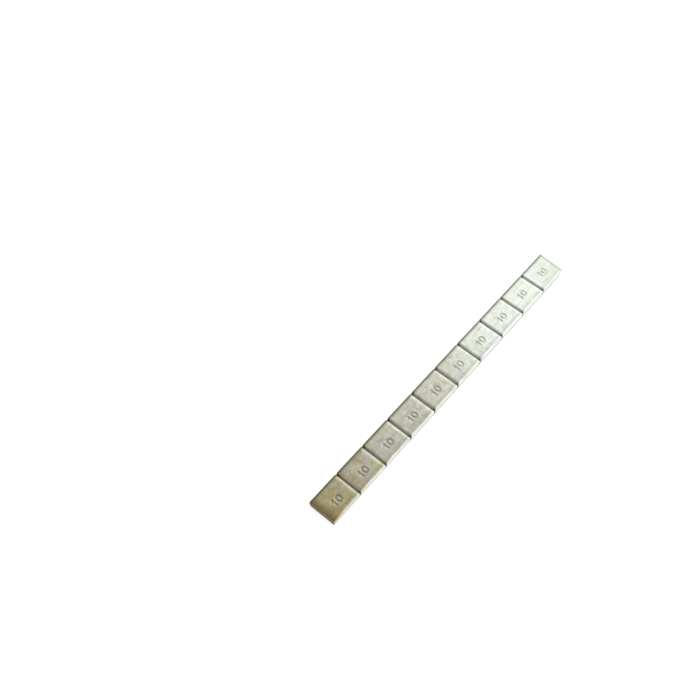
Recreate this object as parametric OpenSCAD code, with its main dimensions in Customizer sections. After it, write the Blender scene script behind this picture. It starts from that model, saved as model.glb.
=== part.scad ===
// Adhesive wheel balance weight: one length of lead, notched into segments that cut apart,
// on double-sided foam tape with a release liner.
// Lengths are in millimetres. The strip lies flat along X with its stamped side up (+Z),
// and the origin is the middle of its underside.

/* [Segments] */
// Number of segments in the strip
segment_count = 10; // [2:1:12]
// Length of one segment, from the middle of one notch to the middle of the next
segment_pitch = 18; // [14:0.5:24]
// Width of the metal
metal_w = 14.2; // [10:0.2:20]
// Thickness of the metal
metal_t = 3.6; // [3:0.1:6]

/* [Shoulders] */
// How far the rounded shoulder along each long edge reaches in over the top face
side_shoulder_run = 0.8; // [0.6:0.1:2]
// How far that shoulder drops to the side wall
side_shoulder_drop = 0.55; // [0.3:0.05:0.8]
// How far the rounded shoulder beside each notch reaches over the top face
notch_shoulder_run = 1.8; // [0.6:0.1:2]
// How far that shoulder drops to the mouth of the notch
notch_shoulder_drop = 0.4; // [0.25:0.05:0.6]
// Radius of the lip where a shoulder turns down into a side wall or a notch
lip_r = 0.15; // [0.1:0.05:0.2]
// Radius of the two long edges on the underside
bottom_edge_r = 0.3; // [0.1:0.05:0.6]
// Radius to which the shears rolled over the top edge at each end
end_edge_r = 0.3; // [0.1:0.05:0.6]

/* [Notches] */
// Width of a notch between its lips
notch_mouth_w = 1.2; // [0.8:0.1:1.6]
// Radius at the root of a notch
notch_root_r = 0.15; // [0.1:0.05:0.3]
// Thickness of the web that joins two segments under a notch
web_t = 1.2; // [0.8:0.1:2]

/* [Backing] */
// Thickness of the foam tape
tape_t = 0.9; // [0.5:0.1:1.5]
// How far the tape and its liner lie inside the metal's outline
tape_inset = 0.1; // [0.1:0.1:1]
// Thickness of the release liner
liner_t = 0.15; // [0.1:0.05:0.3]

/* [Hidden] */
$fn = 64;
strip_l = segment_count * segment_pitch;
// How far a cutting shape reaches past the face that it cuts
past = 1;

// Radius of a shoulder that is level where it starts, run away from the wall, and meets the lip
// smoothly. The lip's own centre lies lip_r from the wall and drop below the top face.
function shoulder_r(run, drop) =
    ((run - lip_r) ^ 2 + drop ^ 2 - lip_r ^ 2) / (2 * (drop - lip_r));

// Lean from upright of the line that touches two circles and passes between them, one with its
// centre at the origin and one with its centre at (x, y). The radii add up to radii.
function lean_between(x, y, radii) = acos(radii / norm([x, y])) - atan2(y, x);

// Way that a wall faces when the block behind it lies to +X and the wall leans back by lean
function facing(lean) = [-cos(lean), sin(lean)];

// What a shoulder and its lip take off a block whose top face is level with the origin and whose
// wall is at the origin, leaning back by lean. The cut reaches out from the wall by out.
module corner_relief(run, drop, lean, out) {
    centre = [run, -shoulder_r(run, drop)];
    lip = [lip_r, -drop];
    touch = lip + lip_r * facing(lean);
    reach = centre + (lip - centre) * (past - centre.y) / norm(lip - centre);
    difference() {
        polygon([touch, touch + out * facing(lean), [touch.x - out, past], [run, past], lip]);
        translate(lip) circle(lip_r);
        intersection() {
            translate(centre) circle(-centre.y);
            polygon([centre, reach, [run, past]]);
        }
    }
}

// What a rounded edge takes off a block whose corner is at the origin and that lies to +X and +Y
module edge_relief(r) {
    difference() {
        translate([-past, -past]) square(past + r);
        translate([r, r]) circle(r);
    }
}

// Section across the strip: flat top, rounded shoulders, upright sides, eased bottom edges
module cross_profile() {
    difference() {
        translate([-metal_w / 2, 0]) square([metal_w, metal_t]);
        for (side = [0, 1]) mirror([side, 0]) translate([-metal_w / 2, 0]) {
            translate([0, metal_t]) corner_relief(side_shoulder_run, side_shoulder_drop, 0, past);
            edge_relief(bottom_edge_r);
        }
    }
}

// Section of one notch: a V with a rounded root, whose walls run up into a lip and a shoulder
module notch_profile() {
    half_w = notch_mouth_w / 2;
    root = [0, web_t + notch_root_r];
    lip = [half_w + lip_r, metal_t - notch_shoulder_drop];
    lean = lean_between(lip.x, lip.y - root.y, lip_r + notch_root_r);
    foot = root - notch_root_r * facing(lean);
    touch = lip + lip_r * facing(lean);
    translate(root) circle(notch_root_r);
    for (side = [0, 1]) mirror([side, 0]) {
        polygon([[0, foot.y], foot, touch, [touch.x, metal_t + past], [0, metal_t + past]]);
        translate([half_w, metal_t])
            corner_relief(notch_shoulder_run, notch_shoulder_drop, lean, half_w);
    }
}

// Section along the strip, with a notch between segments and a rolled top edge at each sheared end
module long_profile() {
    difference() {
        translate([-strip_l / 2, 0]) square([strip_l, metal_t]);
        for (i = [1 : segment_count - 1])
            translate([i * segment_pitch - strip_l / 2, 0]) notch_profile();
        for (end = [0, 1]) mirror([end, 0])
            translate([-strip_l / 2, metal_t]) mirror([0, 1]) edge_relief(end_edge_r);
    }
}

// Outline that the tape and its liner were slit to
module tape_outline() {
    square([strip_l - 2 * tape_inset, metal_w - 2 * tape_inset], center = true);
}

// One length of lead: there is metal where both sections agree
module weight_strip() {
    color([0.70, 0.69, 0.63]) translate([0, 0, liner_t + tape_t]) intersection() {
        rotate([90, 0, 90]) linear_extrude(strip_l + 2 * past, center = true) cross_profile();
        rotate([90, 0, 0]) linear_extrude(metal_w + 2 * past, center = true) long_profile();
    }
}

// Double-sided foam tape that holds the strip to the rim
module foam_tape() {
    color([0.25, 0.25, 0.26]) translate([0, 0, liner_t]) linear_extrude(tape_t) tape_outline();
}

// Coated paper that covers the adhesive until the weight is fitted
module release_liner() {
    color([0.93, 0.92, 0.88]) linear_extrude(liner_t) tape_outline();
}

weight_strip();
foam_tape();
release_liner();
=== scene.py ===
"""Dresses an adhesive wheel balance weight: a notched lead strip, its foam tape and its liner.

The strip lies along X with its stamped side up, as the frame does. Shapes are worked out in
millimetres as whole numpy arrays and become metres when a mesh is made.
"""

import logging
from dataclasses import dataclass, field
from enum import Enum
from typing import Any, Sequence

import bpy
import numpy as np
from mathutils import Euler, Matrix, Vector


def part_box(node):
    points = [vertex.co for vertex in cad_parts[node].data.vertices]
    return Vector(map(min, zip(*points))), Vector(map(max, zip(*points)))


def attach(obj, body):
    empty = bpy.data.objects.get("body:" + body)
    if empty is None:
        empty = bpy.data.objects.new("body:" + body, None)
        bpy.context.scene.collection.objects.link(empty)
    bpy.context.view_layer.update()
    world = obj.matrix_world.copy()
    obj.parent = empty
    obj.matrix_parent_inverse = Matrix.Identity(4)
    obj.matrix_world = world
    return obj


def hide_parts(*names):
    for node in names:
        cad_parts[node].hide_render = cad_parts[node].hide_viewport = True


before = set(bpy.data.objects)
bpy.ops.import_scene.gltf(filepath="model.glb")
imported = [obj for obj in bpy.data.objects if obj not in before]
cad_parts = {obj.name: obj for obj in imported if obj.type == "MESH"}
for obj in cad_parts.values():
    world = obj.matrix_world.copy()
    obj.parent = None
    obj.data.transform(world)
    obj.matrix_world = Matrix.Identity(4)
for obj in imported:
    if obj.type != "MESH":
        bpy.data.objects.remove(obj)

Array = np.ndarray
Colour = tuple[float, float, float]
Span = tuple[float, float]

LOG = logging.getLogger("balance_weight")
MM = 0.001

# Numbers of the colour sockets of Blender's Mix node
MIX_FACTOR, MIX_FIRST, MIX_SECOND, MIX_RESULT = 0, 6, 7, 2


class Slot(Enum):
    """The record's material slots."""

    LEAD = "lead"
    FOAM = "foam"
    LINER = "liner"


class Mark(Enum):
    """Point attributes of the lead strip that its finish reads."""

    DIRT_AND_SHADE = "dirt_and_shade"
    RUBBED_AND_LIT = "rubbed_and_lit"
    SHEARED = "sheared"


@dataclass(frozen=True)
class Block:
    """The box that a CAD node fills, in millimetres.

    Attributes:
        low: Its lowest corner.
        high: Its highest corner.
    """

    low: Array
    high: Array

    @classmethod
    def of_node(cls, node: str) -> "Block":
        """Reads a node's box from the frame.

        Args:
            node: Name of the CAD node.

        Returns:
            The node's box.
        """
        low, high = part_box(node)
        return cls(np.array(low) / MM, np.array(high) / MM)

    @property
    def length(self) -> float:
        """Extent along X."""
        return float(self.high[0] - self.low[0])

    @property
    def half_width(self) -> float:
        """Half the extent along Y."""
        return float(self.high[1] - self.low[1]) / 2

    @property
    def thickness(self) -> float:
        """Extent along Z."""
        return float(self.high[2] - self.low[2])


@dataclass(frozen=True)
class Ripple:
    """Small unevenness of a made surface: a sum of sine waves that run in seeded directions.

    Attributes:
        height: Height that the unevenness never passes.
        wavelength: Mean length of a wave.
        seed: Seed of the waves' directions, starts and lengths.
        waves: Number of waves.
        spread: How far a wave's length may lie from the mean, as a share of it.
    """

    height: float
    wavelength: float
    seed: int
    waves: int = 14
    spread: float = 0.5

    def at(self, x: Array, y: Array) -> Array:
        """Height of the unevenness, which is the mean of the waves times the named height.

        Args:
            x: First coordinate of each point.
            y: Second coordinate of each point.

        Returns:
            Heights between minus and plus the named height.
        """
        draw = np.random.default_rng(self.seed)
        total = np.zeros(np.broadcast(x, y).shape)
        for _ in range(self.waves):
            heading, start = draw.uniform(0, 2 * np.pi, 2)
            turns = 2 * np.pi / (self.wavelength * draw.uniform(1 - self.spread, 1 + self.spread))
            total += np.sin(turns * (x * np.cos(heading) + y * np.sin(heading)) + start)
        return self.height * total / self.waves


def make_piece(name: str, rings: Array, marks: dict[Mark, Array] | None = None) -> bpy.types.Object:
    """Makes a closed solid from rings of points, each end closed by one flat face.

    Faces join point (i, j) to its neighbours on the next ring and the next place round it. Rings
    go up along X, and places round a ring start along +Y on its top, so all faces look outwards.

    Args:
        name: Name of the piece.
        rings: Points in millimetres, as (ring, place, 3).
        marks: A value for each point, as (ring, place), to keep as a point attribute.

    Returns:
        The piece, at the origin, with its place in its mesh.
    """
    count, around = rings.shape[:2]
    index = np.arange(count * around).reshape(count, around)
    beside = np.roll(index, -1, axis=1)
    sides = np.stack([index[:-1], index[1:], beside[1:], beside[:-1]], axis=-1).reshape(-1, 4)
    ends = [index[0].tolist(), index[-1][::-1].tolist()]
    mesh = bpy.data.meshes.new(name)
    mesh.from_pydata((rings.reshape(-1, 3) * MM).tolist(), [], sides.tolist() + ends)
    for mark, values in (marks or {}).items():
        attribute = mesh.attributes.new(mark.value, "FLOAT", "POINT")
        attribute.data.foreach_set("value", values.astype(np.float32).ravel())
    mesh.shade_smooth()
    piece = bpy.data.objects.new(name, mesh)
    bpy.context.scene.collection.objects.link(piece)
    return piece


def dress(piece: bpy.types.Object, material: bpy.types.Material, node: str) -> None:
    """Puts a finished piece in its node's place on the one body that the part has.

    Args:
        piece: The piece.
        material: Its finish.
        node: The CAD node that the piece stands for.
    """
    piece.data.materials.append(material)
    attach(piece, "root")
    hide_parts(node)
    triangles = sum(len(face.vertices) - 2 for face in piece.data.polygons)
    LOG.info("%s stands for %s with %d triangles", piece.name, node, triangles)


@dataclass(frozen=True)
class Shoulder:
    """A large arc that starts level with the top face and runs into a small lip arc.

    Attributes:
        run: How far in from the wall the shoulder starts.
        drop: How far the lip's centre lies below the top face.
        lip: Radius of the lip.
    """

    run: float
    drop: float
    lip: float

    @property
    def arc(self) -> float:
        """Radius of the large arc, from the two arcs touching inside each other."""
        rise = (self.run - self.lip) ** 2 + self.drop**2 - self.lip**2
        return rise / (2 * (self.drop - self.lip))

    @property
    def meet(self) -> float:
        """How far in from the wall the two arcs touch, on the line through their centres."""
        return self.run + self.arc * (self.lip - self.run) / (self.arc - self.lip)

    def fall(self, inward: Array) -> Array:
        """How far the surface lies below the top face.

        Beyond run it is level. From there to where the arcs meet it follows the large circle,
        and nearer the wall it follows the lip's circle.

        Args:
            inward: Distance in from the wall.

        Returns:
            Depth below the top face at each distance.
        """
        off_level = np.clip(self.run - inward, 0, self.run)
        off_lip = np.clip(self.lip - inward, 0, self.lip)
        large = self.arc - np.sqrt(self.arc**2 - off_level**2)
        small = self.drop - np.sqrt(self.lip**2 - off_lip**2)
        return np.where(inward >= self.meet, large, small)

    def places(self, steps_on_lip: int, steps_on_arc: int) -> Array:
        """Distances in from the wall at which the shape needs points.

        They lie at even turns round the lip, and at even steps over the large arc.

        Args:
            steps_on_lip: Number of steps round the lip.
            steps_on_arc: Number of steps over the large arc.

        Returns:
            The distances, from the wall inwards.
        """
        quarter = np.linspace(0, 1, steps_on_lip, endpoint=False)
        on_lip = self.meet * (1 - np.cos(quarter * np.pi / 2))
        on_arc = self.meet + (self.run - self.meet) * np.linspace(0, 1, steps_on_arc + 1)
        return np.concatenate([on_lip, on_arc])


@dataclass(frozen=True)
class Notch:
    """A V with a rounded root, whose walls run up into the lips of its two shoulders.

    Attributes:
        half_mouth: Half the width between the lips.
        root: Radius at the root.
        web: Height of the root above the strip's underside.
        depth: Height of the top face above the strip's underside.
        shoulder: The shoulder on each side.
        root_steps: Number of steps over half the root.
        wall_steps: Number of steps up a wall.
        lip_steps: Number of steps round a lip.
        arc_steps: Number of steps over a shoulder's large arc.
        least_step: Least distance between a wall's last point and the next.
    """

    half_mouth: float
    root: float
    web: float
    depth: float
    shoulder: Shoulder
    root_steps: int = 3
    wall_steps: int = 4
    lip_steps: int = 4
    arc_steps: int = 7
    least_step: float = 0.01

    @property
    def lean(self) -> float:
        """Lean of a wall from upright, from the wall touching the root's and the lip's circles.

        It is the arc cosine of the sum of both radii over the distance between the circles'
        middles, less the slope of the line between these.

        Returns:
            The lean, in radians.
        """
        across = self.half_mouth + self.shoulder.lip
        up = self.depth - self.shoulder.drop - self.web - self.root
        reach = np.hypot(across, up)
        return float(np.arccos((self.root + self.shoulder.lip) / reach) - np.arctan2(up, across))

    @property
    def foot(self) -> float:
        """Distance from the notch's middle at which its root turns into a wall."""
        return self.root * float(np.cos(self.lean))

    @property
    def brow(self) -> float:
        """Distance from the notch's middle at which a wall turns into a lip."""
        return self.half_mouth + self.shoulder.lip * float(1 - np.cos(self.lean))

    @property
    def reach(self) -> float:
        """Distance from the notch's middle at which the top face is level again."""
        return self.half_mouth + self.shoulder.run

    def fall(self, off: Array) -> Array:
        """How far the surface lies below the top face.

        From the middle outwards it follows the root's circle, the straight wall and the shoulder.

        Args:
            off: Distance from the notch's middle.

        Returns:
            Depth below the top face at each distance.
        """
        root_height = self.web + self.root
        on_root = root_height - np.sqrt(np.clip(self.root**2 - off**2, 0, None))
        foot_height = root_height - self.root * np.sin(self.lean)
        on_wall = foot_height + (off - self.foot) / np.tan(self.lean)
        on_shoulder = self.depth - self.shoulder.fall(np.clip(off - self.half_mouth, 0, None))
        height = np.where(off <= self.foot, on_root, np.where(off <= self.brow, on_wall, on_shoulder))
        return self.depth - height

    def places(self) -> Array:
        """Distances from the notch's middle at which the shape needs points.

        Returns:
            The distances, from the middle to where the top face is level again.
        """
        on_root = np.linspace(0, self.foot, self.root_steps + 1)
        on_wall = np.linspace(self.foot, self.brow, self.wall_steps + 1)[1:]
        on_shoulder = self.half_mouth + self.shoulder.places(self.lip_steps, self.arc_steps)
        clear = on_shoulder > self.brow + self.least_step
        return np.concatenate([on_root, on_wall, on_shoulder[clear]])


@dataclass(frozen=True)
class StampedNumber:
    """The number 10 in plain strokes of even width, read along the strip.

    Attributes:
        height: Height of a figure over its strokes.
        stroke: Width of a stroke.
        one_at: Middle of the 1's upright, from the middle of the number.
        nought_at: Middle of the 0, from the middle of the number.
        nought_width: Width of the 0 over its strokes.
        flag_run: How far the 1's flag reaches back.
        flag_fall: How far the 1's flag comes down.
    """

    height: float = 3.85
    stroke: float = 0.92
    one_at: float = -1.9
    nought_at: float = 0.88
    nought_width: float = 3.05
    flag_run: float = 0.5
    flag_fall: float = 0.55

    def outline(self, along: Array, up: Array) -> Array:
        """Distance from the number's outline, less than zero inside a stroke.

        Each stroke is the set of points within half a stroke of its centre line: a straight line
        for the upright and the flag, and for the 0 the curve at a set distance from an upright
        line. The number is all its strokes together, which is the least of their distances.

        Args:
            along: Place along the number from its middle.
            up: Place up the number from its middle.

        Returns:
            The distance at each place.
        """
        top = (self.height - self.stroke) / 2
        bend = (self.nought_width - self.stroke) / 2
        flag_end = (self.one_at - self.flag_run, top - self.flag_fall)
        upright = self._from_line(along, up, (self.one_at, -top), (self.one_at, top))
        flag = self._from_line(along, up, flag_end, (self.one_at, top))
        core = self._from_line(
            along, up, (self.nought_at, bend - top), (self.nought_at, top - bend)
        )
        nought = np.abs(core - bend)
        return np.minimum(np.minimum(upright, flag), nought) - self.stroke / 2

    @staticmethod
    def _from_line(
        along: Array, up: Array, start: tuple[float, float], end: tuple[float, float]
    ) -> Array:
        """Distance of each place from a straight line between two ends.

        The point of the line that is nearest lies at the place's own share along it, which is
        kept between 0 and 1.

        Args:
            along: Place along the number from its middle.
            up: Place up the number from its middle.
            start: One end of the line.
            end: Its other end.

        Returns:
            The distance of each place.
        """
        run, rise = end[0] - start[0], end[1] - start[1]
        share = ((along - start[0]) * run + (up - start[1]) * rise) / (run**2 + rise**2)
        share = np.clip(share, 0, 1)
        return np.hypot(along - start[0] - share * run, up - start[1] - share * rise)


def smooth_step(value: Array, low: float, high: float) -> Array:
    """Rises from 0 at low to 1 at high along 3 t squared less 2 t cubed."""
    share = np.clip((value - low) / (high - low), 0, 1)
    return share * share * (3 - 2 * share)


def smooth_fall(value: Array, low: float, high: float) -> Array:
    """Falls from 1 at low to 0 at high: one less the smooth step."""
    return 1 - smooth_step(value, low, high)


def between(start: float, end: float, steps: int) -> Array:
    """Places that part a stretch into even steps, without its two ends."""
    return np.linspace(start, end, steps + 1)[1:-1]


@dataclass(frozen=True)
class Band:
    """A band with soft edges.

    Attributes:
        middle: Place of its middle.
        full: Distance from the middle up to which it is full.
        gone: Distance from which it is gone.
    """

    middle: float
    full: float
    gone: float

    def at(self, place: Array) -> Array:
        """1 inside the band and 0 outside it, by the smooth fall of the distance."""
        return smooth_fall(np.abs(place - self.middle), self.full, self.gone)


@dataclass(frozen=True)
class Trend:
    """An amount that changes in a straight line from the near end to the far end.

    Attributes:
        near: The amount at the near end.
        far: The amount at the far end.
    """

    near: float
    far: float

    def at(self, share: Array) -> Array:
        """The amount at a share of the strip's length."""
        return self.near + (self.far - self.near) * share


@dataclass(frozen=True)
class ShearCuts:
    """The two cuts: the far one isn't square across the strip, the near one leans in below.

    Attributes:
        short: How far the far end's right corner lies short of its left one.
        lean: How far the near end's foot lies behind its top edge.
        reach: How far from an end the points draw in.
        top: Height of the strip's upper side.
    """

    short: float = 1.0
    lean: float = 0.32
    reach: float = 5.0
    top: float = 4.65

    def along(self, points: Array, block: Block) -> Array:
        """Draws a piece's far end in towards its right corner and its near end in below.

        Each shift grows in a straight line over the end's face, and smoothly over the reach
        along the strip.

        Args:
            points: The points, with their coordinates last.
            block: The box of the piece's CAD node.

        Returns:
            The places along the strip after the cuts.
        """
        x, y, z = np.moveaxis(points, -1, 0)
        share = (block.half_width - y) / (2 * block.half_width)
        first, last = block.low[0], block.high[0]
        far = self.short * share * smooth_step(x, last - self.reach, last)
        near = self.lean * (1 - z / self.top) * smooth_fall(x, first, first + self.reach)
        return x - far + near


@dataclass(frozen=True)
class Change:
    """A smooth change of one value with another.

    Attributes:
        low: The other value up to which this one keeps its start.
        high: The other value from which it keeps its end.
        start: Value at the low side.
        end: Value at the high side.
    """

    low: float
    high: float
    start: float = 0.0
    end: float = 1.0


@dataclass(frozen=True)
class Noise:
    """A cloudy pattern.

    Attributes:
        scale: Patches per millimetre.
        detail: How many finer patterns are added to it.
        rough: How strong each is against the one before.
        stretch: Scale of each axis, for a pattern that is longer one way than another.
        turn: Turn about Z before that, in radians.
    """

    scale: float
    detail: float = 2.0
    rough: float = 0.5
    stretch: tuple[float, float, float] | None = None
    turn: float = 0.0


@dataclass(frozen=True)
class Graph:
    """A node tree under construction, with one short method for each kind of node.

    Attributes:
        tree: The node tree.
    """

    tree: bpy.types.NodeTree

    def add(self, kind: str, inputs: dict[str | int, Any] | None = None, **settings: Any) -> Any:
        """Adds a node.

        Args:
            kind: Blender's name for the node's type.
            inputs: A constant or a socket for each input that isn't left alone.
            settings: The node's own settings.

        Returns:
            The node.
        """
        made = self.tree.nodes.new(kind)
        for key, value in settings.items():
            setattr(made, key, value)
        for key, value in (inputs or {}).items():
            if isinstance(value, bpy.types.NodeSocket):
                self.tree.links.new(value, made.inputs[key])
            else:
                made.inputs[key].default_value = value
        return made

    def place(self) -> Any:
        """Place on the piece in millimetres."""
        place = self.add("ShaderNodeTexCoord").outputs["Object"]
        scale = (1 / MM,) * 3
        return self.add("ShaderNodeMapping", {"Vector": place, "Scale": scale}).outputs["Vector"]

    def pattern(self, place: Any, noise: Noise) -> Any:
        """Lays a cloudy pattern.

        Args:
            place: Place on the piece.
            noise: The pattern.

        Returns:
            Its value there, between 0 and 1 and mostly near one half.
        """
        if noise.stretch is not None:
            turn = (0, 0, noise.turn)
            turned = self.add("ShaderNodeMapping", {"Vector": place, "Rotation": turn})
            inputs = {"Vector": turned.outputs["Vector"], "Scale": noise.stretch}
            place = self.add("ShaderNodeMapping", inputs).outputs["Vector"]
        inputs = {"Vector": place, "Scale": noise.scale}
        inputs |= {"Detail": noise.detail, "Roughness": noise.rough}
        return self.add("ShaderNodeTexNoise", inputs).outputs["Fac"]

    def cells(self, place: Any, scale: float) -> Any:
        """Distance from the middle of the nearest of scattered cells."""
        return self.add("ShaderNodeTexVoronoi", {"Vector": place, "Scale": scale}).outputs["Distance"]

    def follow(self, value: Any, change: Change) -> Any:
        """Carries a value over to another by a smooth change.

        Args:
            value: The value that it follows.
            change: The change.

        Returns:
            The changed value.
        """
        inputs = {"Value": value, "From Min": change.low, "From Max": change.high}
        inputs |= {"To Min": change.start, "To Max": change.end}
        made = self.add("ShaderNodeMapRange", inputs, interpolation_type="SMOOTHSTEP")
        return made.outputs["Result"]

    def sum(self, *values: Any) -> Any:
        """Adds values up."""
        return self._fold("ADD", values)

    def product(self, *values: Any) -> Any:
        """Multiplies values together."""
        return self._fold("MULTIPLY", values)

    def _fold(self, operation: str, values: Sequence[Any]) -> Any:
        """Joins values by one operation, from the first to the last.

        Args:
            operation: Blender's name for the operation.
            values: The values, each a number or a socket.

        Returns:
            What they come to.
        """
        total = values[0]
        for value in values[1:]:
            node = self.add("ShaderNodeMath", {0: total, 1: value}, operation=operation)
            total = node.outputs["Value"]
        return total

    def mix(self, share: Any, first: Any, second: Any) -> Any:
        """Mixes two colours. A colour is a socket or three numbers.

        Args:
            share: Share of the second colour.
            first: The first colour.
            second: The second colour.

        Returns:
            The mixed colour.
        """
        ends = [c if isinstance(c, bpy.types.NodeSocket) else (*c, 1.0) for c in (first, second)]
        node = self.add("ShaderNodeMix", data_type="RGBA")
        for value, place in zip((share, *ends), (MIX_FACTOR, MIX_FIRST, MIX_SECOND)):
            socket = node.inputs[place]
            if isinstance(value, bpy.types.NodeSocket):
                self.tree.links.new(value, socket)
            else:
                socket.default_value = value
        return node.outputs[MIX_RESULT]

    def bump(self, height: Any, depth: float, under: Any = None) -> Any:
        """Turns a height into a bump.

        Args:
            height: The height, in shares of the depth.
            depth: What a height of 1 comes to, in millimetres.
            under: The bump that this one lies on, if any.

        Returns:
            The bumped normal.
        """
        inputs = {"Height": height, "Distance": depth * MM, "Strength": 1.0}
        if under is not None:
            inputs["Normal"] = under
        return self.add("ShaderNodeBump", inputs).outputs["Normal"]

    def mark(self, mark: Mark) -> Any:
        """A point attribute of the piece."""
        return self.add("ShaderNodeAttribute", attribute_name=mark.value).outputs["Fac"]

    def seen(self) -> Any:
        """1 for what the camera sees, straight or in a reflection or through something."""
        rays = self.add("ShaderNodeLightPath").outputs
        kinds = ("Is Camera Ray", "Is Glossy Ray", "Is Transmission Ray")
        return self.sum(*(rays[kind] for kind in kinds))

    def surface(self, **inputs: Any) -> Any:
        """The finished surface. Input names have an underscore for each space."""
        named = {key.replace("_", " ").title().replace("Ior", "IOR"): v for key, v in inputs.items()}
        return self.add("ShaderNodeBsdfPrincipled", named)

    def finish(self, surface: Any) -> None:
        """Joins the surface to the material's output."""
        self.add("ShaderNodeOutputMaterial", {"Surface": surface.outputs[0]})


def new_material(name: str) -> tuple[bpy.types.Material, Graph]:
    """Makes an empty node material.

    Args:
        name: Name of the material.

    Returns:
        The material and the graph that fills it.
    """
    material = bpy.data.materials.new(name)
    material.use_nodes = True
    material.node_tree.nodes.clear()
    return material, Graph(material.node_tree)


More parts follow.
